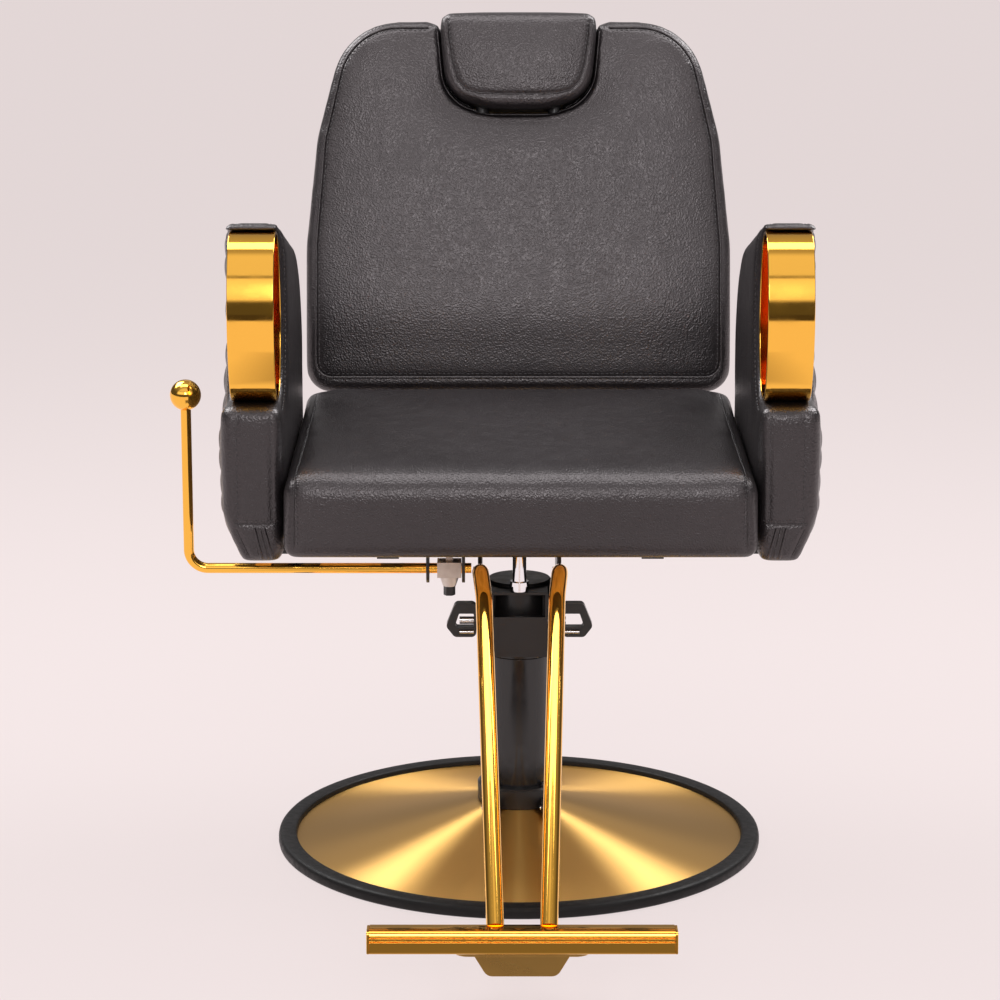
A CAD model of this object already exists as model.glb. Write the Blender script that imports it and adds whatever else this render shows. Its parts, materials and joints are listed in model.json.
# %% [markdown]
# # A hydraulic barber chair
#
# The solid model gives every rigid piece at its real size and place. This lesson dresses it:
# soft leather cushions, polished and satin gold metal, black enamel, rubber and chrome.
# Lengths are in metres. +Z is up and the sitter faces -Y.

# %% Frame
import json
import math

import bmesh
import bpy
import numpy as np
from mathutils import Matrix, Vector
from mathutils.bvhtree import BVHTree
from mathutils.kdtree import KDTree


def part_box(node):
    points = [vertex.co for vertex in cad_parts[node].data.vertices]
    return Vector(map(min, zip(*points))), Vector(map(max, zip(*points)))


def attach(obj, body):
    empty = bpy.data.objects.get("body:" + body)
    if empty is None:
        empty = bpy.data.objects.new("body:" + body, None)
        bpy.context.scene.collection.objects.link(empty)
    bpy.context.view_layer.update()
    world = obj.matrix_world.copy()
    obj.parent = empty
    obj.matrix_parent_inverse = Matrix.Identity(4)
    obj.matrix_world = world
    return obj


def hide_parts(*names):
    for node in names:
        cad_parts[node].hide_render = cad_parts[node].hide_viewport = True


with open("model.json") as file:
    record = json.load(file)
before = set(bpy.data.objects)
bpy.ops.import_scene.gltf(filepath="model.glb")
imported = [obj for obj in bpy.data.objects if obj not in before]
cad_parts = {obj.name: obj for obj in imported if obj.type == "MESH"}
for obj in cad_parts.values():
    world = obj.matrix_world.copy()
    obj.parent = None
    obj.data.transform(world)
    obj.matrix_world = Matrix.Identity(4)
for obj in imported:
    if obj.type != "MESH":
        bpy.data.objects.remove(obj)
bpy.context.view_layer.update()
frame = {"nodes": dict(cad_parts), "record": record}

scene = bpy.context.scene
nodes = frame["nodes"]
bodies = {n: b for b, members in frame["record"]["behaviour"]["bodies"].items() for n in members}
slots = {s["node"]: s["material_slot"] for s in frame["record"]["subparts"]}

# %% [markdown]
# ## Camera
#
# The chair is seen from a little above eye level of someone sitting, straight on, from about
# three and a half metres. A long lens keeps the base and the back in natural proportion.

# %% Camera
def place_camera(place, pitch_down, focal_px, frame_px):
    data = bpy.data.cameras.new("chair_camera")
    data.sensor_width = 36
    data.lens = 36 * focal_px / frame_px
    cam = bpy.data.objects.new("chair_camera", data)
    scene.collection.objects.link(cam)
    cam.location = place
    cam.rotation_euler = (math.radians(90 - pitch_down), 0, 0)
    scene.camera = cam
    return cam


camera = place_camera((-0.023, -3.6, 1.2255), 12.6, 3093, 1000)
print("lens", round(camera.data.lens, 1), "mm")

# %% [markdown]
# ## Helpers for materials
#
# Each finish is a small network of shader nodes. All patterns read Object coordinates, so the
# grain of the leather has the same size on every piece and stays put when the chair moves.

# %% Node helper
class Finish:
    """A material with one Principled shader, and a short way to add nodes to it."""

    def __init__(self, name, colour, rough, metal=0.0):
        self.mat = bpy.data.materials.new(name)
        self.mat.use_nodes = True
        self.tree = self.mat.node_tree
        self.shader = self.tree.nodes["Principled BSDF"]
        self.set("Base Color", (*colour, 1))
        self.set("Roughness", rough)
        self.set("Metallic", metal)
        self.coords = self.add("ShaderNodeTexCoord").outputs["Object"]
        self.height = None

    def add(self, kind, **inputs):
        node = self.tree.nodes.new(kind)
        for key, value in inputs.items():
            if key in node.inputs:
                node.inputs[key].default_value = value
            else:
                setattr(node, key, value)
        return node

    def set(self, socket, value):
        self.shader.inputs[socket].default_value = value

    def link(self, a, b):
        self.tree.links.new(a, b)

    def noise(self, scale, detail=2.0, stretch=None):
        node = self.add("ShaderNodeTexNoise", Scale=scale, Detail=detail)
        source = self.coords
        if stretch:
            turn = self.add("ShaderNodeMapping")
            turn.inputs["Scale"].default_value = stretch
            self.link(source, turn.inputs["Vector"])
            source = turn.outputs["Vector"]
        self.link(source, node.inputs["Vector"])
        return node.outputs["Fac"]

    def cells(self, scale):
        node = self.add("ShaderNodeTexVoronoi", feature="SMOOTH_F1", Scale=scale)
        self.link(self.coords, node.inputs["Vector"])
        return node.outputs["Distance"]

    def ramp(self, source, low, high, start=0.35, end=0.65):
        node = self.add("ShaderNodeMapRange")
        node.inputs["From Min"].default_value = start
        node.inputs["From Max"].default_value = end
        node.inputs["To Min"].default_value = low
        node.inputs["To Max"].default_value = high
        self.link(source, node.inputs["Value"])
        return node.outputs["Result"]

    def blend(self, source, first, second, start=0.35, end=0.65):
        node = self.add("ShaderNodeMix", data_type="RGBA")
        node.inputs[6].default_value = (*first, 1)
        node.inputs[7].default_value = (*second, 1)
        self.link(self.ramp(source, 0, 1, start, end), node.inputs[0])
        self.link(node.outputs[2], self.shader.inputs["Base Color"])

    def rough(self, source, low, high, start=0.35, end=0.65):
        self.link(self.ramp(source, low, high, start, end), self.shader.inputs["Roughness"])

    def bump(self, source, depth, strength=1.0):
        node = self.add("ShaderNodeBump", Strength=strength, Distance=depth)
        self.link(source, node.inputs["Height"])
        if self.height is not None:
            self.link(self.height, node.inputs["Normal"])
        self.height = node.outputs["Normal"]
        self.link(self.height, self.shader.inputs["Normal"])


# %% [markdown]
# ## Leather
#
# The chair is covered in smooth charcoal-black leather with a fine pebble grain and a low
# sheen. A cell pattern makes the grain, and two slow noises vary the tone and the polish.

# %% Leather
def leather(name, dark, light, grain=520, rough=0.34):
    f = Finish(name, dark, rough)
    f.blend(f.noise(7, 3), dark, light)
    f.rough(f.noise(60, 4, (1, 1, 0.6)), rough - 0.02, rough + 0.04)
    f.bump(f.noise(95, 4, (1, 1, 0.7)), 0.0008, 0.30)
    f.bump(f.cells(grain), 0.0006, 0.85)
    f.set("Specular IOR Level", 0.9)
    f.set("Specular Tint", (1.0, 0.92, 0.94, 1))
    return f.mat


def sewing_thread():
    f = Finish("sewing_thread", (0.045, 0.040, 0.043), 0.6)
    f.bump(f.noise(2600, 2), 0.0002, 0.5)
    f.set("Sheen Weight", 0.3)
    return f.mat


leather_main = leather("leather_main", (0.0085, 0.0070, 0.0078), (0.0125, 0.0104, 0.0115))
leather_dark = leather("leather_welt", (0.004, 0.0034, 0.0037), (0.006, 0.0052, 0.0056), 900)
thread = sewing_thread()
print("leather and thread")

# %% [markdown]
# ## Gold
#
# The rings, the footrest and the lever are polished and plated, so they are almost mirrors with
# a little haze. The dish of the base is spun on a lathe, and its fine rings of polish
# stretch each highlight into a fan.

# %% Gold
def polished_gold():
    f = Finish("gold_polished", (0.97, 0.52, 0.080), 0.07, 1.0)
    f.rough(f.noise(40, 3), 0.045, 0.095)
    f.bump(f.noise(18, 2), 0.0004, 0.05)
    f.bump(f.noise(500, 3), 0.00005, 0.12)
    return f.mat


def satin_gold(name, turned):
    f = Finish(name, (0.88, 0.52, 0.150), 0.33, 1.0)
    if turned:
        f.set("Anisotropic", 1.0)
        tangent = f.add("ShaderNodeTangent", direction_type="UV_MAP", uv_map="turned")
        f.link(tangent.outputs["Tangent"], f.shader.inputs["Tangent"])
    else:
        f.rough(f.noise(34, 3), 0.26, 0.33)
        f.bump(f.noise(900, 2), 0.0001, 0.25)
    return f.mat


gold_turned = satin_gold("gold_turned", True)

# %% [markdown]
# ## Enamel, rubber, chrome and the rest
#
# Black enamel comes in two sheens: the pump column is glossy and the pressed brackets are satin
# with a faint orange peel. Rubber is matt and slightly dusty.

# %% Other finishes
def enamel(name, rough):
    f = Finish(name, (0.016, 0.015, 0.016), rough)
    f.rough(f.noise(90, 3), rough - 0.05, rough + 0.06)
    f.bump(f.noise(420, 2), 0.0002, 0.2)
    return f.mat


def rubber():
    f = Finish("rubber_ring", (0.008, 0.0072, 0.0075), 0.5)
    f.set("Specular IOR Level", 0.22)
    f.blend(f.noise(22, 4), (0.007, 0.0063, 0.0065), (0.010, 0.0092, 0.0095))
    f.rough(f.noise(120, 2), 0.42, 0.55)
    f.bump(f.noise(700, 3), 0.0003, 0.4)
    return f.mat


def bare_metal(name, colour, rough, grain):
    f = Finish(name, colour, rough, 1.0)
    f.rough(f.noise(grain, 3), rough - 0.05, rough + 0.08)
    f.bump(f.noise(grain * 6, 2), 0.0001, 0.2)
    return f.mat


def cast_metal():
    f = Finish("cast_metal", (0.62, 0.55, 0.50), 0.42, 0.75)
    f.blend(f.noise(60, 3), (0.55, 0.48, 0.43), (0.70, 0.63, 0.57))
    f.bump(f.noise(380, 3), 0.0004, 0.5)
    return f.mat


def plywood():
    f = Finish("birch_plywood", (0.55, 0.40, 0.24), 0.65)
    layers = f.noise(40, 3, (1, 1, 18))
    f.blend(layers, (0.42, 0.29, 0.16), (0.64, 0.48, 0.30))
    f.bump(layers, 0.0004, 0.4)
    return f.mat


def plastic():
    f = Finish("moulded_plastic", (0.018, 0.018, 0.019), 0.38)
    f.rough(f.noise(70, 3), 0.33, 0.45)
    f.bump(f.noise(900, 2), 0.0002, 0.3)
    return f.mat


finishes = {
    "rubber": rubber(),
    "gold_satin": satin_gold("gold_pressed", False),
    "gold_polished": polished_gold(),
    "black_steel": enamel("enamel_satin", 0.36),
    "black_gloss": enamel("enamel_gloss", 0.14),
    "zinc": bare_metal("zinc_plate", (0.62, 0.62, 0.64), 0.3, 80),
    "chrome": bare_metal("chrome_plate", (0.86, 0.86, 0.88), 0.07, 40),
    "bronze": bare_metal("bronze", (0.60, 0.40, 0.18), 0.35, 90),
    "black_plastic": plastic(),
    "plywood": plywood(),
    "leather_black": leather_main,
    "cast_silver": cast_metal(),
}
print(len(finishes), "finishes")

# %% [markdown]
# ## Helpers for pieces
#
# A finished piece sits at the origin with its place in its mesh, rides on a body of the chair,
# takes a finish, and says which solids it stands for.

# %% Piece helpers
def new_object(name, bm):
    mesh = bpy.data.meshes.new(name)
    bm.to_mesh(mesh)
    bm.free()
    obj = bpy.data.objects.new(name, mesh)
    scene.collection.objects.link(obj)
    return obj


def dress(obj, body, slot, material=None, stands_for=(), smooth=35):
    obj.data.materials.clear()
    obj.data.materials.append(material or finishes[slot])
    if smooth:
        obj.data.shade_smooth()
        obj.data.set_sharp_from_angle(angle=math.radians(smooth))
    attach(obj, body)
    if stands_for:
        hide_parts(*stands_for)
    return obj


def outward(bm):
    bmesh.ops.remove_doubles(bm, verts=bm.verts, dist=1e-6)
    bmesh.ops.recalc_face_normals(bm, faces=bm.faces)


def soften(obj, width, segments=2, angle=30):
    mod = obj.modifiers.new("edge", "BEVEL")
    mod.width = width
    mod.segments = segments
    mod.limit_method = "ANGLE"
    mod.angle_limit = math.radians(angle)
    mod.harden_normals = True


def baked(obj):
    """The object's mesh with its modifiers made final."""
    graph = bpy.context.evaluated_depsgraph_get()
    graph.update()
    mesh = bpy.data.meshes.new_from_object(obj.evaluated_get(graph))
    old = obj.data
    obj.modifiers.clear()
    obj.data = mesh
    bpy.data.meshes.remove(old)
    return obj


def copy_of(node, name):
    bm = bmesh.new()
    bm.from_mesh(nodes[node].data)
    bmesh.ops.remove_doubles(bm, verts=bm.verts, dist=2e-6)
    return new_object(name, bm)


def tidy_copy(node, width):
    """A copy of a rigid solid with flat faces joined and its edges rounded."""
    bm = bmesh.new()
    bm.from_mesh(nodes[node].data)
    bmesh.ops.remove_doubles(bm, verts=bm.verts, dist=2e-6)
    bmesh.ops.dissolve_limit(bm, angle_limit=math.radians(0.6), verts=bm.verts, edges=bm.edges)
    obj = new_object(node + "_dressed", bm)
    soften(obj, width, 3 if width > 0.001 else 2)
    dress(obj, bodies[node], slots[node], None, (node,), 28)


# %% [markdown]
# ## Rigid pieces
#
# Real sheet metal has no razor edges: its edges are rounded by tumbling, paint or polish,
# and they catch the light. Each rigid solid is copied and its edges are bevelled by half a
# millimetre or so. Bolts, pins and shafts are small, so they keep the solid as it is.

# %% Rigid pieces
edge_width = {
    "pump_collar": 0.0008, "pump_tube": 0.0008, "gland_nut": 0.0008,
    "saddle_hub": 0.001, "saddle_cheek_left": 0.0008, "saddle_cheek_right": 0.0008,
    "mount_plate": 0.0008, "lock_housing": 0.0006, "lock_handle_left": 0.0022,
    "lock_handle_right": 0.0022, "post_sleeve": 0.0006, "pedal_plate": 0.0006,
    "pedal_arms": 0.0012, "foot_bar_caps": 0.0008, "seat_frame": 0.0012,
    "arm_brackets": 0.0006, "hinge_plates": 0.0006, "back_brackets": 0.0006,
    "lever_tabs": 0.0004, "release_cam": 0.0008, "cam_screw": 0.0005,
    "gas_anchor": 0.0006, "gas_tube": 0.0008, "gas_rod": 0.0005, "gas_lug": 0.0005,
    "headrest_sleeves": 0.0004, "clamp_ring": 0.0006,
}
for node, width in edge_width.items():
    tidy_copy(node, width)
for node, obj in nodes.items():
    if not obj.hide_render:
        obj.data.materials.clear()
        obj.data.materials.append(finishes[slots[node]])
print(len(edge_width), "solids with rounded edges")

# %% [markdown]
# ## Turned pieces
#
# The base ring and the dish are round, so each is a profile of a few points spun about the
# column. The dish also gets a UV map whose first direction runs out from the middle, which
# the satin finish uses as the direction in which its fine polishing marks spread the light.

# %% Spun profile
def spun(name, profile, steps):
    bm = bmesh.new()
    points = [bm.verts.new((r, 0, z)) for r, z in profile]
    edges = [bm.edges.new(pair) for pair in zip(points, points[1:] + points[:1])]
    bmesh.ops.spin(
        bm, geom=points + edges, cent=(0, 0, 0), axis=(0, 0, 1), dvec=(0, 0, 0),
        angle=math.tau, steps=steps, use_merge=True, use_normal_flip=False, use_duplicate=False)
    outward(bm)
    return new_object(name, bm)


def round_uv(obj, name="turned"):
    layer = obj.data.uv_layers.new(name=name)
    for face in obj.data.polygons:
        turn = [math.atan2(obj.data.vertices[v].co.y, obj.data.vertices[v].co.x)
                for v in face.vertices]
        if max(turn) - min(turn) > math.pi:
            turn = [t + math.tau if t < 0 else t for t in turn]
        for loop, t in zip(face.loop_indices, turn):
            co = obj.data.vertices[obj.data.loops[loop].vertex_index].co
            layer.data[loop].uv = (math.hypot(co.x, co.y), t)


# %% Base dish
def dish_height(r, rim=0.007, top=0.049, land=0.054, flat=0.2625):
    if r <= land:
        return top
    if r >= flat:
        return rim
    return rim + (top - rim) * ((flat - r) / (flat - land)) ** 1.2


radii = [0.0385, 0.046, 0.054] + [0.054 + 0.2085 * i / 26 for i in range(1, 27)] + [0.268, 0.2845]
upper = [(r, dish_height(r)) for r in radii]
lower = [(r, z - 0.003) for r, z in reversed(upper)]
dish = spun("base_dish_spun", upper + lower, 192)
round_uv(dish)
dress(dish, "base", "gold_satin", gold_turned, ("base_dish",), 40)
print("dish", len(dish.data.polygons), "faces")

# %% Base ring
ring_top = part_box("base_ring")[1].z
ring = spun("base_ring_moulded", [
    (0.2700, 0.0), (0.2905, 0.0), (0.2920, 0.0012), (0.2925, 0.0035), (0.2925, ring_top - 0.006),
    (0.2918, ring_top - 0.003), (0.2900, ring_top - 0.001), (0.2870, ring_top),
    (0.2735, ring_top), (0.2715, ring_top - 0.0008), (0.2705, ring_top - 0.0025),
    (0.2700, 0.0073), (0.2848, 0.0073), (0.2848, 0.0040), (0.2700, 0.0040),
], 192)
dress(ring, "base", "rubber", None, ("base_ring",), 40)

# %% [markdown]
# ## Tubes
#
# Footrest tubes and the lever rod are bent from round bar. A curve with a round bevel follows
# the same straight runs and bends as the solid, and is then made a mesh.

# %% Bent tubes
def bent_line(path, bend, step=5):
    path = [Vector(p) for p in path]
    line = [path[0]]
    for before, corner, after in zip(path, path[1:], path[2:]):
        d1, d2 = (corner - before).normalized(), (after - corner).normalized()
        phi = d1.angle(d2)
        centre = corner + (d2 - d1).normalized() * (bend / math.cos(phi / 2))
        ex = (corner - d1 * bend * math.tan(phi / 2) - centre).normalized()
        count = max(2, math.ceil(math.degrees(phi) / step))
        for k in range(count + 1):
            a = phi * k / count
            line.append(centre + bend * (ex * math.cos(a) + d1 * math.sin(a)))
    return line + [path[-1]]


def tube(name, line, radius, sides=4):
    data = bpy.data.curves.new(name, "CURVE")
    data.dimensions = "3D"
    data.bevel_depth = radius
    data.bevel_resolution = sides
    data.use_fill_caps = True
    spline = data.splines.new("POLY")
    spline.points.add(len(line) - 1)
    for point, place in zip(spline.points, line):
        point.co = (*place, 1)
    curve = bpy.data.objects.new(name + "_line", data)
    scene.collection.objects.link(curve)
    graph = bpy.context.evaluated_depsgraph_get()
    graph.update()
    mesh = bpy.data.meshes.new_from_object(curve.evaluated_get(graph))
    mesh.name = name
    bpy.data.objects.remove(curve)
    bm = bmesh.new()
    bm.from_mesh(mesh)
    bpy.data.meshes.remove(mesh)
    outward(bm)
    return new_object(name, bm)


# %% Footrest tubes
for side, label in ((-1, "left"), (1, "right")):
    path = [(side * x, y, z) for x, y, z in (
        (0.0275, -0.575, 0.083), (0.041, -0.240, 0.363),
        (0.045, -0.195, 0.381), (0.0465, -0.060, 0.344))]
    line = bent_line(path, 0.040)
    start, end = line[0], line[-1]
    first, last = (line[1] - start).normalized(), (line[-2] - end).normalized()
    line[0] = start + first * 0.014
    line[-1] = end + last * 0.0175
    rod = tube("footrest_tube_" + label, line, 0.0095, 10)
    dress(rod, "seat", "gold_polished", None, ("foot_rod_" + label,), 50)

# %% Lever
lever_x, lever_y, lever_z = -0.385, -0.1, 0.362
line = bent_line([(lever_x, lever_y, 0.5605), (lever_x, lever_y, lever_z),
                  (-0.0563, lever_y, lever_z)], 0.022)
lever = tube("lever_bent_rod", line, 0.006, 10)
dress(lever, "lever", "gold_polished", None, ("lever_rod",), 50)

bm = bmesh.new()
bmesh.ops.create_uvsphere(bm, u_segments=64, v_segments=40, radius=0.018)
bmesh.ops.translate(bm, verts=bm.verts, vec=(lever_x, lever_y, 0.567))
dress(new_object("lever_ball_turned", bm), "lever", "gold_polished", None, ("lever_ball",), 60)

# %% [markdown]
# ## Foot bar
#
# The bar is an extrusion with two fine grooves along its upper front edge. Its section is drawn
# once as a loop of points, filled, and pushed along X, and the grooves keep sharp edges.

# %% Foot bar
def corner_points(cx, cy, r, start, count=5):
    return [(cx + r * math.cos(math.radians(start + 90 * k / count)),
             cy + r * math.sin(math.radians(start + 90 * k / count))) for k in range(count + 1)]


def extruded(name, section, x0, x1):
    bm = bmesh.new()
    loop = [bm.verts.new((x0, y, z)) for y, z in section]
    face = bm.faces.new(loop)
    pushed = bmesh.ops.extrude_face_region(bm, geom=[face])
    moved = [g for g in pushed["geom"] if isinstance(g, bmesh.types.BMVert)]
    bmesh.ops.translate(bm, verts=moved, vec=(x1 - x0, 0, 0))
    outward(bm)
    return new_object(name, bm)


bar_y, bar_z, half = -0.575, 0.083, 0.013
section = (
    corner_points(half - 0.004, half - 0.004, 0.004, 0)
    + corner_points(-half + 0.005, half - 0.005, 0.005, 90)
    + [(-half, 0.0078), (-half + 0.0018, 0.0072), (-half + 0.0018, 0.0062), (-half, 0.0056)]
    + [(-half, 0.0034), (-half + 0.0018, 0.0028), (-half + 0.0018, 0.0018), (-half, 0.0012)]
    + corner_points(-half + 0.006, -half + 0.006, 0.006, 180)
    + corner_points(half - 0.004, -half + 0.004, 0.004, 270)
)
bar = extruded("foot_bar_extruded", [(bar_y + y, bar_z + z) for y, z in section], -0.158, 0.158)
soften(bar, 0.0004, 2, 40)
dress(bar, "seat", "gold_polished", None, ("foot_bar",), 30)

# %% [markdown]
# ## Arm rings
#
# Each ring is a band of gold-plated steel, bent into an upright oval that stands on the front of
# the arm. Its outline is four arcs, short ones at the ends and long ones at the front and rear.
# The band gets its thickness from Solidify and soft edges from a bevel.

# %% Arm rings
ring_low, ring_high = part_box("arm_ring_right")
ring_middle = (ring_low + ring_high) / 2
ring_half = (ring_high.y - ring_low.y) / 2
ring_rise = (ring_high.z - ring_low.z) / 2
ring_end_r = 0.046


def oval(grow=0.0, step=0.003):
    """(y, z) points round the ring, from the rear over the top, grown outwards by grow."""
    end_z = ring_rise - ring_end_r
    bow = (ring_half ** 2 + end_z ** 2 - ring_end_r ** 2) / (2 * (ring_half - ring_end_r))
    side = bow - ring_half
    meet = math.atan2(end_z, side)
    arcs = ((-side, 0, bow, -meet, meet), (0, end_z, ring_end_r, meet, math.pi - meet),
            (side, 0, bow, math.pi - meet, math.pi + meet),
            (0, -end_z, ring_end_r, math.pi + meet, math.tau - meet))
    points = []
    for cy, cz, r, a0, a1 in arcs:
        count = math.ceil(r * (a1 - a0) / step)
        for k in range(count):
            a = a0 + (a1 - a0) * k / count
            points.append((ring_middle.y + cy + (r + grow) * math.cos(a),
                           ring_middle.z + cz + (r + grow) * math.sin(a)))
    return points


def band(name, x0, x1):
    bm = bmesh.new()
    loop = [bm.verts.new((x0, y, z)) for y, z in oval()]
    edges = [bm.edges.new(pair) for pair in zip(loop, loop[1:] + loop[:1])]
    pushed = bmesh.ops.extrude_edge_only(bm, edges=edges)
    moved = [g for g in pushed["geom"] if isinstance(g, bmesh.types.BMVert)]
    bmesh.ops.translate(bm, verts=moved, vec=(x1 - x0, 0, 0))
    outward(bm)
    bm.faces.ensure_lookup_table()
    face = bm.faces[0]
    away = face.calc_center_median() - Vector((0, ring_middle.y, ring_middle.z))
    if away.yz.dot(face.normal.yz) < 0:
        bmesh.ops.reverse_faces(bm, faces=bm.faces)
    obj = new_object(name, bm)
    wall = obj.modifiers.new("wall", "SOLIDIFY")
    wall.thickness = 0.004
    wall.offset = -1
    wall.use_even_offset = True
    soften(obj, 0.0011, 3, 50)
    return obj


for side, label in ((-1, "left"), (1, "right")):
    x0, x1 = sorted((side * ring_low.x, side * ring_high.x))
    obj = band("arm_ring_band_" + label, x0, x1)
    dress(obj, "seat", "gold_polished", None, ("arm_ring_" + label,), 40)
print("rings", round(ring_half * 2000), "by", round(ring_rise * 2000), "mm")

# %% [markdown]
# ## Cushions
#
# Foam under leather swells between its seams. Each cushion starts from its solid, is remeshed
# into even small faces, and is blown up by a short cloth simulation with pressure and no
# gravity. The raw cloth crumples, so only its movement along the normals is kept and evened. No
# point may move further than a set distance, and the faces that lie on wood stay. Remeshing and
# smoothing shrink a shape, so the piece is stretched back to its solid's box.

# %% Cloth helper
def voxel(obj, size):
    mod = obj.modifiers.new("voxel", "REMESH")
    mod.mode = "VOXEL"
    mod.voxel_size = size
    return baked(obj)


def vectors(obj, what="co"):
    values = np.empty(len(obj.data.vertices) * 3)
    obj.data.vertices.foreach_get(what, values)
    return values.reshape(-1, 3)


def write_coordinates(obj, co):
    obj.data.vertices.foreach_set("co", co.astype(np.float32).ravel())
    obj.data.update()


def refit(obj, node, turn=np.eye(3)):
    """Stretches the piece until its box, in a turned frame, is that of its solid."""
    own, solid = vectors(obj) @ turn.T, vectors(nodes[node]) @ turn.T
    low, goal = own.min(0), solid.min(0)
    own = goal + (own - low) * (solid.max(0) - goal) / (own.max(0) - low)
    write_coordinates(obj, own @ turn)


def evened(obj, values, rounds):
    """Spreads one value per point over its neighbours."""
    ends = np.empty(len(obj.data.edges) * 2, dtype=np.int32)
    obj.data.edges.foreach_get("vertices", ends)
    a, b = ends.reshape(-1, 2).T
    n = len(values)
    count = np.maximum(np.bincount(a, minlength=n) + np.bincount(b, minlength=n), 1)
    for _ in range(rounds):
        near = np.bincount(a, values[b], n) + np.bincount(b, values[a], n)
        values = 0.5 * values + 0.5 * near / count
    return values


def swell(obj, pressure, most, free, frames=20):
    """Blows the piece up along its normals. free(co) is how far each point may follow, 0 to 1."""
    before, normal = vectors(obj), vectors(obj, "normal")
    mod = obj.modifiers.new("cloth", "CLOTH")
    s = mod.settings
    s.quality = 5
    s.mass = 0.3
    s.tension_stiffness = s.compression_stiffness = 25
    s.bending_stiffness = 2
    s.use_pressure = True
    s.uniform_pressure_force = pressure
    s.effector_weights.gravity = 0
    for f in range(1, frames + 1):
        scene.frame_set(f)
    graph = bpy.context.evaluated_depsgraph_get()
    moved = obj.evaluated_get(graph).to_mesh()
    after = np.empty(len(moved.vertices) * 3)
    moved.vertices.foreach_get("co", after)
    obj.evaluated_get(graph).to_mesh_clear()
    obj.modifiers.clear()
    scene.frame_set(1)
    lift = ((after.reshape(-1, 3) - before) * normal).sum(1)
    print(obj.name, "wanted to swell", round(float(lift.max()) * 1000, 1), "mm")
    lift = evened(obj, np.clip(lift, -0.1 * most, most), 25) * evened(obj, free(before), 4)
    write_coordinates(obj, before + normal * lift[:, None])


def smoothed(obj, factor=0.5, repeat=4):
    mod = obj.modifiers.new("relax", "SMOOTH")
    mod.factor = factor
    mod.iterations = repeat
    return baked(obj)


def finer(obj, levels=1):
    mod = obj.modifiers.new("finer", "SUBSURF")
    mod.levels = mod.render_levels = levels
    return baked(obj)


def ease(x, a, b):
    t = np.clip((x - a) / (b - a), 0, 1)
    return t * t * (3 - 2 * t)


def inflated(node, name, grain, relax, most, free, turn=np.eye(3)):
    """A soft copy of a solid: remeshed, relaxed, blown up, and refined at the solid's size."""
    obj = copy_of(node, name)
    voxel(obj, grain)
    smoothed(obj, 0.5, relax)
    refit(obj, node, turn)
    swell(obj, 4, most, free)
    finer(obj)
    refit(obj, node, turn)
    return obj


def upholster(obj, body, node):
    dress(obj, body, "leather_black", leather_main, (node,), 0)
    obj.data.shade_smooth()
    print(obj.name, len(obj.data.polygons), "faces")


# %% [markdown]
# ## Sewing
#
# A seam is a line of rays shot at a cushion. Where they meet it, the leather is drawn in, a
# dark cord lies in the groove or a welt stands on it, and a row of short stitches runs beside
# it. Each stitch is a stretched ball of a few faces, turned to lie along the leather.

# %% Sewing helpers
def evenly(line, step):
    """Points at even steps along a line."""
    run = [0.0]
    for a, b in zip(line, line[1:]):
        run.append(run[-1] + (b - a).length)
    count = max(1, round(run[-1] / step))
    points, k = [], 0
    for i in range(count + 1):
        want = run[-1] * i / count
        while k < len(line) - 2 and run[k + 1] < want:
            k += 1
        t = (want - run[k]) / max(run[k + 1] - run[k], 1e-9)
        points.append(line[k].lerp(line[k + 1], t))
    return points


def skin(obj):
    bm = bmesh.new()
    bm.from_mesh(obj.data)
    tree = BVHTree.FromBMesh(bm)
    bm.free()
    return tree


def track(tree, rays, step=0.002, spacing=0.0015):
    """A line laid on a cushion: rays are (start, aim) pairs, the answer (place, normal) pairs."""
    hits = []
    for (p0, a0), (p1, a1) in zip(rays, rays[1:]):
        count = max(1, math.ceil(((p1 - p0).length + 0.05 * (a1 - a0).length) / spacing))
        for k in range(count):
            t = k / count
            place = tree.ray_cast(p0.lerp(p1, t), a0.lerp(a1, t).normalized())[0]
            if place is not None:
                hits.append(place)
    for _ in range(4):
        inner = [(a + b * 2 + c) / 4 for a, b, c in zip(hits, hits[1:], hits[2:])]
        hits = hits[:1] + inner + hits[-1:]
    return [tree.find_nearest(p)[:2] for p in evenly(hits, step)]


def relaid(tree, line, shift=Vector((0, 0, 0))):
    """The same line, moved by shift and laid on the cushion again."""
    return [tree.find_nearest(p + shift)[:2] for p, _ in line]


def press(obj, tracks, depth, width):
    """Draws the leather in along the tracks, the way tight thread does."""
    points = [p for t in tracks for p, _ in t]
    tree = KDTree(len(points))
    for i, p in enumerate(points):
        tree.insert(p, i)
    tree.balance()
    co, normal = vectors(obj), vectors(obj, "normal")
    near = np.array([tree.find(c)[2] for c in co])
    write_coordinates(obj, co - normal * (depth * np.exp(-(near / width) ** 2))[:, None])


def stitches(name, tracks, body, every=3, run=2, thick=0.0006, lift=0.0002):
    places = []
    for line in tracks:
        for i in range(0, len(line) - run, every):
            (a, normal), (b, _) = line[i], line[i + run]
            along = (b - a).normalized()
            across = normal.cross(along).normalized()
            turn = Matrix((across, along.cross(across), along)).transposed().to_4x4()
            size = Matrix.Diagonal((thick, thick, (b - a).length / 2, 1))
            places.append(Matrix.Translation((a + b) / 2 + normal * lift) @ turn @ size)
    bm = bmesh.new()
    bmesh.ops.create_uvsphere(bm, u_segments=6, v_segments=4, radius=1)
    obj = new_object(name, bm)
    row = obj.modifiers.new("row", "ARRAY")
    row.use_relative_offset = False
    row.count = len(places)
    one = vectors(baked(obj)).reshape(len(places), -1, 3)
    places = np.array(places)
    turned = np.einsum("nij,nkj->nki", places[:, :3, :3], one) + places[:, None, :3, 3]
    write_coordinates(obj, turned.reshape(-1, 3))
    dress(obj, body, "leather_black", thread, (), 70)
    print(name, len(places), "stitches")


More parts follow.
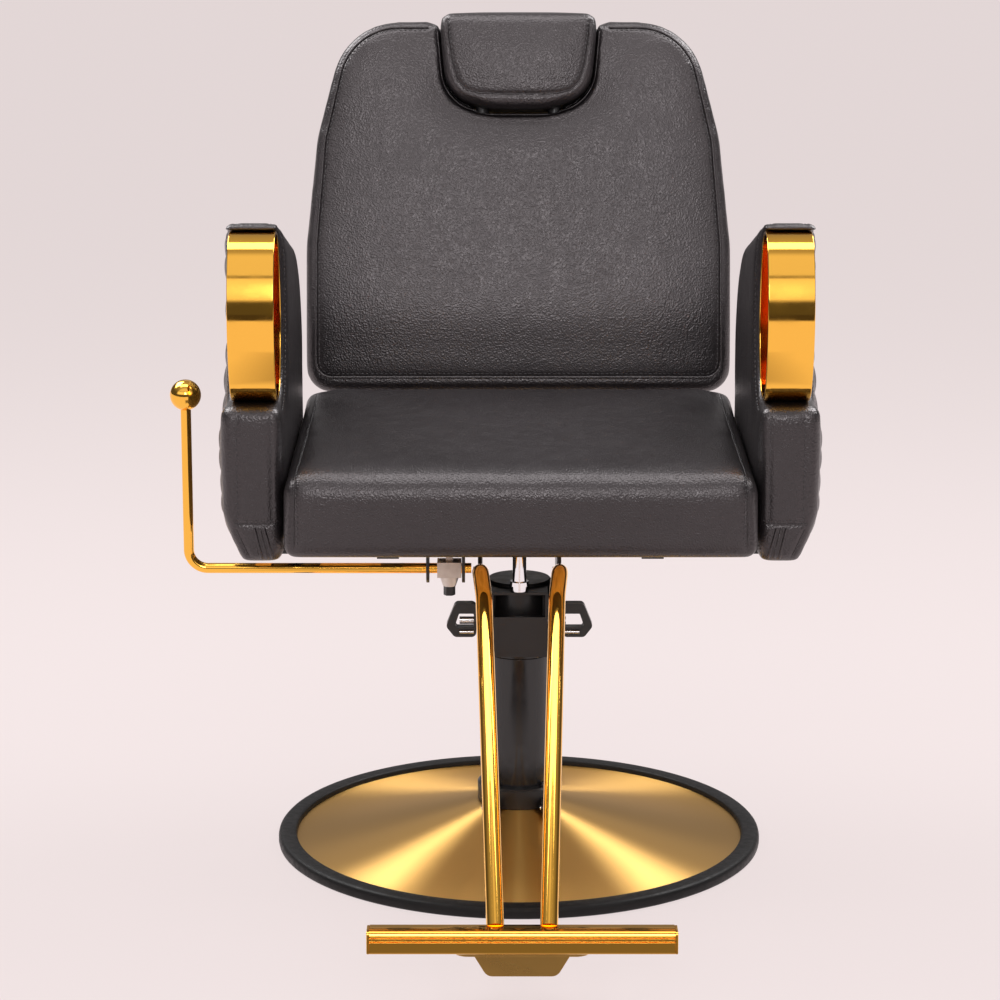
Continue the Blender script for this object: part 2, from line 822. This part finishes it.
def cords(name, tracks, body, radius, sink, material, sides=3):
    """Round cords along the tracks, joined into one piece. Half sunk, they read as a welt."""
    bm = bmesh.new()
    for line in tracks:
        part = tube("part", [p - n * sink for p, n in line], radius, sides)
        bm.from_mesh(part.data)
        mesh = part.data
        bpy.data.objects.remove(part)
        bpy.data.meshes.remove(mesh)
    dress(new_object(name, bm), body, "leather_black", material, (), 60)


# %% [markdown]
# ## Seat cushion
#
# One panel runs over the seat and down its front, and a side panel is sewn to it near each edge.
# The seams climb the front, turn over the edge and run back along the top.

# %% Seat cushion
seat_low, seat_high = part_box("seat_cushion")
seat_seam_x = 0.2515
rear_rise = 0.004


def seat_free(co):
    on_board = (np.abs(co[:, 0]) < 0.240) & (co[:, 2] < 0.430) & (np.abs(co[:, 1]) < 0.245)
    return np.where(on_board, 0, ease(co[:, 2], 0.413, 0.424))


seat = inflated("seat_cushion", "seat_pad_sewn", 0.006, 3, 0.007, seat_free)
crowned = vectors(seat)
rear = ease(crowned[:, 1], 0.100, 0.210) * ease(crowned[:, 2], 0.480, 0.505)
crowned[:, 2] += rear_rise * rear * (1 - ease(np.abs(crowned[:, 0]), 0.215, 0.245))
write_coordinates(seat, crowned)

down, inward = Vector((0, 0, -1)), Vector((0, 1, 0))
seat_tracks = []
seat_skin = skin(seat)
for side in (-1, 1):
    x = side * seat_seam_x
    corner = Vector((x, seat_low.y + 0.045, seat_high.z - 0.055))
    rays = [(Vector((x, seat_high.y - 0.02, seat_high.z + 0.05)), down),
            (Vector((x, corner.y, seat_high.z + 0.05)), down)]
    for k in range(1, 10):
        a = math.radians(90 + 10 * k)
        aim = -Vector((0, math.cos(a), math.sin(a)))
        rays.append((corner - aim * 0.1, aim))
    rays += [(Vector((x, seat_low.y - 0.05, corner.z - 0.01)), inward),
             (Vector((x, seat_low.y - 0.05, seat_low.z + 0.012)), inward)]
    seat_tracks.append(track(seat_skin, rays))
press(seat, seat_tracks, 0.0016, 0.0035)
upholster(seat, "seat", "seat_cushion")
cords("seat_seam_cord", seat_tracks, "seat", 0.0009, 0.0016, leather_dark)
beside = []
seat_skin = skin(seat)
for line in seat_tracks:
    shift = Vector((-0.004 if line[0][0].x > 0 else 0.004, 0, 0))
    beside.append(relaid(seat_skin, line, shift))
stitches("seat_stitches", beside, "seat")

# %% [markdown]
# ## Back cushion
#
# The back leans, so its seams are planned in its own upright frame and then turned with it.
# A welt runs round it close to the edge, and a second one follows the recess that the headrest
# sits in. The rim of the recess is worked sharper than the solid's, as a sewn edge is.

# %% The back's own frame
pivot = Vector((0, 0.238, 0.470))
lean = math.radians(13)
to_back = np.array(Matrix.Rotation(lean, 3, "X"))
up_back = Matrix.Rotation(-lean, 3, "X")
into_back = up_back @ Vector((0, 1, 0))


def in_back(co):
    """Points in the back's own frame: Y through it, Z along it, from the hinge."""
    return (co - np.array(pivot)) @ to_back.T


def out_of_back(co):
    return co @ to_back + np.array(pivot)


def on_back(x, y, z):
    return pivot + up_back @ Vector((x, y, z))


def rays_at_back(line):
    """Rays that meet the back's front at the points (x, z) of a line."""
    return [(on_back(x, -0.2, z), into_back) for x, z in line]


def round_circles(circles, step=0.003):
    """The tight line round circles (x, z, r), as even points that run anticlockwise."""
    turns = [math.radians(a) for a in range(0, 360, 3)]
    points = sorted({(round(x + r * math.cos(a), 6), round(z + r * math.sin(a), 6))
                     for x, z, r in circles for a in turns})

    def chain(points):
        line = []
        for p in points:
            while len(line) > 1 and ((line[-1][0] - line[-2][0]) * (p[1] - line[-2][1])
                                     <= (line[-1][1] - line[-2][1]) * (p[0] - line[-2][0])):
                line.pop()
            line.append(p)
        return line[:-1]

    line = chain(points) + chain(points[::-1])
    line = evenly([Vector((x, 0, z)) for x, z in line + line[:1]], step)[:-1]
    return [(p.x, p.z) for p in line]


def both_sides(circles):
    return [(side * x, z, r) for x, z, r in circles for side in (-1, 1)]


def rest_line(grow, step=0.003):
    """The headrest's outline, grown by grow."""
    return round_circles(both_sides([(0.0835, 0.491, 0.014 + grow), (0.0425, 0.440, 0.050 + grow),
                                     (0.0265, 0.441, 0.055 + grow)]), step)


def unrolled(line, hole):
    """Starts a closed line behind the stretch where hole(x, z) is true, and leaves that out."""
    first = next(i for i in range(len(line)) if hole(*line[i - 1]) and not hole(*line[i]))
    return [p for p in line[first:] + line[:first] if not hole(*p)]


# %% Back cushion
def back_free(co):
    own = in_back(co)
    return 1 - ease(own[:, 1], -0.022, -0.010)


def sharpen_rim(obj, edge_r=0.014, front=-0.058, power=5):
    """Turns the wide rounding at the headrest's recess into a tighter one."""
    rim = rest_line(0.002, 0.001)
    tree = KDTree(len(rim))
    for i, (x, z) in enumerate(rim):
        tree.insert((x, 0, z), i)
    tree.balance()
    own = in_back(vectors(obj))
    for v in own:
        if v[1] < front + edge_r and abs(v[0]) < 0.135 and v[2] > 0.36:
            place, _, away = tree.find((v[0], 0, v[2]))
            if away < edge_r:
                a, b = (edge_r - away) / edge_r, (front + edge_r - v[1]) / edge_r
                size = math.hypot(a, b)
                stretch = size / max((a ** power + max(b, 0) ** power) ** (1 / power), 1e-6)
                new_away = edge_r - min(a * stretch, 1) * edge_r
                move = (new_away - away) / max(away, 1e-4)
                v[0] += (v[0] - place.x) * move
                v[2] += (v[2] - place.z) * move
                v[1] = front + edge_r - min(b * stretch, 1.02) * edge_r
    write_coordinates(obj, out_of_back(own))


def crown_back(obj, fall=0.011):
    """Lets the front of the cushion fall away towards its lower edge and, less, its sides."""
    own = in_back(vectors(obj))
    front = ease(-own[:, 1], 0.015, 0.045)
    low = 1 - ease(own[:, 2], 0.050, 0.165)
    side = ease(np.abs(own[:, 0]), 0.150, 0.262) * (1 - ease(own[:, 2], 0.36, 0.45))
    own[:, 1] += front * fall * (low ** 1.5 + 0.35 * side ** 1.5)
    hem = (1 - ease(own[:, 2], 0.055, 0.100)) * (1 - ease(own[:, 1], -0.030, 0.0))
    own[:, 2] -= 0.005 * hem
    write_coordinates(obj, out_of_back(own))


back = inflated("back_cushion", "back_pad_sewn", 0.006, 3, 0.007, back_free, to_back)
crown_back(back)
sharpen_rim(back)
smoothed(back, 0.5, 2)


def edge_line(inset, opening):
    """The back's sewn edge, open where the headrest's recess cuts through it."""
    circles = [(0.234, 0.072, 0.019), (0.226, 0.215, 0.027), (0.173, 0.339, 0.070),
               (0.149, 0.415, 0.076)]
    line = round_circles(both_sides([(x, z, round(r - inset, 6)) for x, z, r in circles]))
    return unrolled(line, lambda x, z: abs(x) < opening and z > 0.3)


rim_line = unrolled(rest_line(0.0040), lambda x, z: z > 0.487)
back_skin = skin(back)


def back_track(line):
    return track(back_skin, rays_at_back(line))


edge_track, rim_track = back_track(edge_line(0, 0.112)), back_track(rim_line)
press(back, [edge_track], 0.0018, 0.0040)
press(back, [rim_track], 0.0006, 0.0025)
upholster(back, "back", "back_cushion")
cords("back_edge_welt", [edge_track], "back", 0.0016, 0.0010, leather_main)
cords("back_rim_welt", [rim_track], "back", 0.0012, 0.0004, leather_main)
back_skin = skin(back)
stitches("back_stitches", [back_track(edge_line(0.0045, 0.115))], "back")

# %% [markdown]
# ## Headrest
#
# A front panel is sewn to a boxing strip that wraps the pad. Two rows hold it below: the seam
# itself and a row of top stitching just inside it.

# %% Headrest
def rest_free(co):
    own = in_back(co)
    return 1 - 0.9 * ease(own[:, 1], -0.030, -0.018)


headrest = inflated("headrest_pad", "headrest_pad_sewn", 0.005, 2, 0.004, rest_free, to_back)
raised = in_back(vectors(headrest))
top_rise = 0.0045
raised[:, 2] += top_rise * ease(raised[:, 2], 0.465, 0.500)
write_coordinates(headrest, out_of_back(raised))
rest_skin = skin(headrest)
half_panel = [(0.0863, 0.500), (0.0851, 0.477), (0.0801, 0.446), (0.0739, 0.426),
              (0.064, 0.4141), (0.0478, 0.4097), (0.023, 0.4085)]
panel = [(-x, z) for x, z in half_panel] + [(0.0, 0.4085)] + half_panel[::-1]
seam = [(x * 1.035, z - 0.0045) for x, z in panel]
rest_seam = track(rest_skin, rays_at_back(seam))
press(headrest, [rest_seam], 0.0020, 0.0030)
upholster(headrest, "headrest", "headrest_pad")
rest_skin = skin(headrest)
rest_row = track(rest_skin, rays_at_back(panel))
cords("headrest_seam_cord", [rest_seam], "headrest", 0.0008, 0.0016, leather_dark)
stitches("headrest_stitches", [rest_row], "headrest")

# %% [markdown]
# ## Arm pads
#
# The outer side of each arm is quilted: rows of stitches cross it at 45 degrees and the leather
# puffs up between them. A plain strip as wide as the ring runs down the front and over the
# top, and below it two zip lips close the cover.

# %% Quilting
quilt_pitch = 0.036
quilt_height = 0.0048


def from_ring(co, grow_y=0.0, grow_z=0.0):
    """Distance from the ring's middle, 1 on an oval whose half sizes are the ring's, grown."""
    return np.hypot((co[:, 1] - ring_middle.y) / (ring_half + grow_y),
                    (co[:, 2] - ring_middle.z) / (ring_rise + grow_z))


def quilt_mask(co, normal, side):
    """1 on the outer side of the arm, fading out towards its edges and round the ring."""
    y, z = co[:, 1], co[:, 2]
    ring_gap = from_ring(co, 0.030, 0.026)
    flat = ease(normal[:, 0] * side, 0.72, 0.96)
    front = ease(y, -0.206, -0.190)
    return flat * ease(ring_gap, 0.94, 1.10) * front * ease(z, 0.402, 0.416)


def quilted(obj, side):
    co, normal = vectors(obj), vectors(obj, "normal")
    u = (co[:, 1] + co[:, 2]) / (math.sqrt(2) * quilt_pitch)
    v = (co[:, 1] - co[:, 2]) / (math.sqrt(2) * quilt_pitch)
    puff = np.sqrt(np.abs(np.sin(math.pi * u) * np.sin(math.pi * v)))
    mask = quilt_mask(co, normal, side)
    co[:, 0] += side * mask * (quilt_height * puff - 0.0012)
    write_coordinates(obj, co)


def quilt_rows(tree, side, x):
    """Rays along the quilting lines, kept where the mask is full."""
    rows = []
    aim = Vector((-side, 0, 0))
    reach = 0.45
    for sign in (-1, 1):
        for k in range(-10, 40):
            middle = k * quilt_pitch * math.sqrt(2)
            line = []
            for s in np.arange(-reach, reach, 0.002):
                y = -0.02 + s / math.sqrt(2)
                hit, normal = tree.ray_cast(Vector((x, y, middle - sign * y)), aim)[:2]
                if hit is not None and quilt_mask(
                        np.array([hit]), np.array([normal]), side)[0] > 0.55:
                    line.append((hit, normal))
                else:
                    rows.append(line)
                    line = []
            rows.append(line)
    return [row for row in rows if len(row) > 6]


# %% Arm pads
def arm_free(co):
    x, y, z = np.abs(co[:, 0]), co[:, 1], co[:, 2]
    slot = (x > 0.284) & (x < 0.315) & (y > -0.205) & (y < 0.150) & (z < 0.575)
    near_ring = 1 - ease(from_ring(co), 1.05, 1.35)
    return np.where(slot, 0, 1 - 0.9 * near_ring)


def arm_outer_bulge(co, side):
    """The outer side is fullest below the ring and draws in again towards the bottom."""
    z = co[:, 2]
    out = ease(np.abs(co[:, 0]), 0.300, 0.330)
    belly = ease(z, 0.46, 0.52) * (1 - ease(z, 0.58, 0.66))
    co[:, 0] += side * out * (0.0015 * belly - 0.003 * ease(-z, -0.43, -0.40))
    return co


def round_lip(co):
    """Rounds off the leather that lies on the ring, at its outer side and its front."""
    over = np.maximum(co[:, 2] - ring_high.z, 0)
    edge = np.maximum(ease(np.abs(co[:, 0]), 0.316, 0.337), ease(-co[:, 1], 0.196, 0.224))
    co[:, 2] -= over * 0.6 * edge ** 1.5
    return co


def from_front(x, z):
    """A ray that meets the front of the arm at x and z."""
    return Vector((x, -0.3, z)), inward


strip_in, strip_out = 0.2785, 0.3170
zip_top, zip_foot = 0.4375, 0.401
for side, label in ((-1, "left"), (1, "right")):
    node = "arm_pad_" + label
    arm = inflated(node, "arm_pad_sewn_" + label, 0.005, 2, 0.003, arm_free)
    write_coordinates(arm, round_lip(arm_outer_bulge(vectors(arm), side)))
    quilted(arm, side)
    arm_skin = skin(arm)

    strip = []
    for x in (side * strip_in, side * strip_out):
        strip.append(track(arm_skin, [from_front(x, 0.446), from_front(x, 0.566)]))
        rays = [(Vector((x, y, 0.9)), down) for y in (-0.176, -0.1, 0.0, 0.1, 0.15)]
        strip.append(track(arm_skin, rays))
        rays = [(Vector((x, 0.3, z)), -inward) for z in (0.60, 0.56, 0.50, 0.44)]
        strip.append(track(arm_skin, rays))
    side_ring = sorted((p for p in oval(0.011) if p[0] > ring_middle.y - 0.002),
                       key=lambda p: math.atan2(p[1] - ring_middle.z, p[0] - ring_middle.y))
    for start, way in ((0.15, 1), (0.45, -1)):
        aim = Vector((side * way, 0, 0))
        rays = [(Vector((side * start, y, z)), aim) for y, z in side_ring]
        strip.append(track(arm_skin, rays))
    cross = [from_front(side * x, 0.4425) for x in (0.2715, 0.2850, 0.3000, 0.3215)]
    cross_track = track(arm_skin, cross)
    outer_seam = track(arm_skin, [from_front(side * 0.3195, 0.436),
                                  from_front(side * 0.3050, 0.404)])
    press(arm, strip, 0.0011, 0.0028)
    press(arm, [cross_track, outer_seam], 0.0014, 0.0025)
    upholster(arm, "seat", node)

    arm_skin = skin(arm)
    resting = [relaid(arm_skin, line) for line in strip]
    above = relaid(arm_skin, cross_track, Vector((0, 0, 0.0035)))
    stitches("arm_stitches_" + label, resting + [above], "seat")
    cords("arm_seam_cord_" + label, [cross_track, outer_seam], "seat", 0.0007, 0.0012, leather_dark)
    rows = quilt_rows(arm_skin, side, side * 0.5)
    stitches("arm_quilt_stitches_" + label, rows, "seat", 3, 2, 0.0005, 0.0001)
    *lips, teeth = [track(arm_skin, [from_front(side * a, zip_top), from_front(side * b, zip_foot)])
                    for a, b in ((0.2877, 0.2783), (0.2985, 0.2905), (0.2931, 0.2844))]
    cords("arm_zip_lips_" + label, lips, "seat", 0.0019, 0.0004, leather_main, 5)
    cords("arm_zip_tape_" + label, [teeth], "seat", 0.0030, 0.0022, leather_dark, 5)

# %% [markdown]
# ## Studio
#
# A pale floor runs to the horizon under a soft, even light. Polished metal only looks like metal
# when it has something to show, so mirrors see a studio that the camera doesn't: a dark room
# behind the camera, a bright bank of light above it, and a pale ceiling with dark joints.

# %% Floor
pale = (0.84, 0.745, 0.742)


def either(f, switch, off, on):
    """The number `on` where the switch is 1, and the socket `off` where it is 0."""
    node = f.add("ShaderNodeMix", data_type="FLOAT")
    f.link(switch, node.inputs[0])
    f.link(off, node.inputs[2])
    node.inputs[3].default_value = on
    return node.outputs[0]


def studio_floor(tone, size=60.0, dark_from=-6.0, band=0.22, camera_share=0.86):
    bm = bmesh.new()
    bmesh.ops.create_grid(bm, x_segments=2, y_segments=2, size=size)
    bmesh.ops.translate(bm, verts=bm.verts, vec=(0, 0, -0.0006))
    floor = new_object("studio_floor", bm)
    f = Finish("studio_floor", tone, 0.9)
    f.set("Specular IOR Level", 0.1)
    place = f.add("ShaderNodeSeparateXYZ")
    f.link(f.coords, place.inputs[0])
    x, y = place.outputs["X"], place.outputs["Y"]

    def maths(operation, *sources):
        node = f.add("ShaderNodeMath", operation=operation)
        for socket, source in zip(node.inputs, sources):
            f.link(source, socket)
        return node.outputs[0]

    # mirrors see the floor dark far behind the camera, and in a band in front of the foot bar
    far = f.ramp(y, 0.08, 1.2, dark_from - 1.5, dark_from)
    band_y = maths("MAXIMUM", f.ramp(y, 1.0, band, -1.20, -1.00), f.ramp(y, band, 1.0, -0.62, -0.45))
    band_x = f.ramp(maths("ABSOLUTE", x), band, 1.0, 0.26, 0.40)
    mirrored = maths("MULTIPLY", far, maths("MAXIMUM", band_y, band_x))
    seen = f.add("ShaderNodeLightPath").outputs
    glow = f.add("ShaderNodeEmission", Color=(*tone, 1))
    f.link(either(f, seen["Is Camera Ray"], mirrored, 1.0), glow.inputs["Strength"])
    share = maths("MAXIMUM", f.ramp(seen["Is Camera Ray"], 0, camera_share, 0, 1),
                  f.ramp(seen["Is Glossy Ray"], 0, 1.0, 0, 1))
    mix = f.add("ShaderNodeMixShader")
    f.link(share, mix.inputs["Fac"])
    f.link(f.shader.outputs[0], mix.inputs[1])
    f.link(glow.outputs[0], mix.inputs[2])
    f.link(mix.outputs[0], f.tree.nodes["Material Output"].inputs["Surface"])
    floor.data.materials.append(f.mat)


studio_floor(pale)

# %% [markdown]
# ## Room for mirrors
#
# Three columns of brightness against height, ahead, behind and to the sides, are blended by
# direction. Light Path shows them to mirror rays only.

# %% World
# each stop: degrees above the horizon, brightness
room_ahead = ((-90, 0.10), (10, 0.10), (13, 1.10), (20, 1.35), (30.5, 1.15), (31.5, 0.35),
              (33, 0.35), (34, 0.92), (76, 0.95), (76.7, 0.40), (77.7, 0.40), (78.5, 1.15),
              (90, 1.25))
room_behind = ((-90, 0.9), (0, 0.9), (3, 0.24), (19, 0.24), (30, 0.9), (90, 1.0))
room_side = ((-90, 0.10), (20, 0.10), (40, 0.30), (75, 0.5), (90, 1.1))


def studio_world():
    world = bpy.data.worlds.new("studio")
    scene.world = world
    world.use_nodes = True
    tree = world.node_tree
    link = tree.links.new

    def add(kind, **settings):
        node = tree.nodes.new(kind)
        for key, value in settings.items():
            setattr(node, key, value)
        return node

    def span(source, low, high, start, end):
        node = add("ShaderNodeMapRange", interpolation_type="SMOOTHSTEP")
        limits = {"From Min": start, "From Max": end, "To Min": low, "To Max": high}
        for key, value in limits.items():
            node.inputs[key].default_value = value
        link(source, node.inputs["Value"])
        return node.outputs["Result"]

    def sky(height, stops):
        node = add("ShaderNodeValToRGB")
        marks = node.color_ramp.elements
        for k, (degrees, value) in enumerate(stops):
            place = (math.sin(math.radians(degrees)) + 1) / 2
            mark = marks[k] if k < 2 else marks.new(place)
            mark.position = place
            mark.color = (value, value, value, 1)
        link(height, node.inputs["Fac"])
        return node.outputs["Color"]

    def mixed(factor, first, second):
        node = add("ShaderNodeMix", data_type="RGBA")
        link(factor, node.inputs[0])
        link(first, node.inputs[6])
        link(second, node.inputs[7])
        return node.outputs[2]

    direction = add("ShaderNodeSeparateXYZ")
    link(add("ShaderNodeTexCoord").outputs["Generated"], direction.inputs[0])
    half_up = add("ShaderNodeMapRange")
    half_up.inputs["From Min"].default_value = -1
    link(direction.outputs["Z"], half_up.inputs["Value"])
    height = half_up.outputs["Result"]
    ahead = span(direction.outputs["Y"], 1, 0, -0.62, -0.35)
    behind = span(direction.outputs["Y"], 0, 1, 0.72, 0.90)
    room = mixed(ahead, sky(height, room_side), sky(height, room_ahead))
    room = mixed(behind, room, sky(height, room_behind))
    tint = add("ShaderNodeMix", data_type="RGBA", blend_type="MULTIPLY")
    tint.inputs[0].default_value = 1
    tint.inputs[7].default_value = (1.0, 0.95, 0.95, 1)
    link(room, tint.inputs[6])

    def light(colour, strength):
        node = add("ShaderNodeBackground")
        node.inputs["Strength"].default_value = strength
        if isinstance(colour, tuple):
            node.inputs["Color"].default_value = (*colour, 1)
        else:
            link(colour, node.inputs["Color"])
        return node.outputs[0]

    def shaded(factor, first, second):
        node = add("ShaderNodeMixShader")
        link(factor, node.inputs["Fac"])
        link(first, node.inputs[1])
        link(second, node.inputs[2])
        return node.outputs[0]

    paths = add("ShaderNodeLightPath").outputs
    soft = light((1.0, 0.97, 0.96), 0.35)
    view = shaded(paths["Is Glossy Ray"], soft, light(tint.outputs[2], 1.0))
    view = shaded(paths["Is Camera Ray"], view, light(pale, 1.0))
    link(view, tree.nodes["World Output"].inputs["Surface"])


studio_world()

# %% [markdown]
# ## Lamps
#
# Four soft rectangles: one above the camera, a long one overhead, and one on each side, a
# little behind the chair, for the fans of light on the dish.

# %% Lamps
def softbox(name, place, aim, width, height, watts):
    data = bpy.data.lights.new(name, "AREA")
    data.shape = "RECTANGLE"
    data.size, data.size_y = width, height
    data.energy = watts
    lamp = bpy.data.objects.new(name, data)
    scene.collection.objects.link(lamp)
    lamp.location = place
    lamp.rotation_euler = (Vector(aim) - Vector(place)).to_track_quat("-Z", "Y").to_euler()


softbox("lamp_bank", (0.0, -3.9, 2.0), (0, 0.2, 0.75), 0.9, 0.9, 26)
softbox("lamp_top", (0.0, -0.3, 2.7), (0, -0.3, 0), 3.0, 0.8, 26)
softbox("lamp_left", (-1.6, 0.9, 2.45), (0, 0, 0.2), 1.7, 1.4, 60)
softbox("lamp_right", (1.6, 0.9, 2.45), (0, 0, 0.2), 1.7, 1.4, 60)
scene.view_settings.view_transform = "Standard"
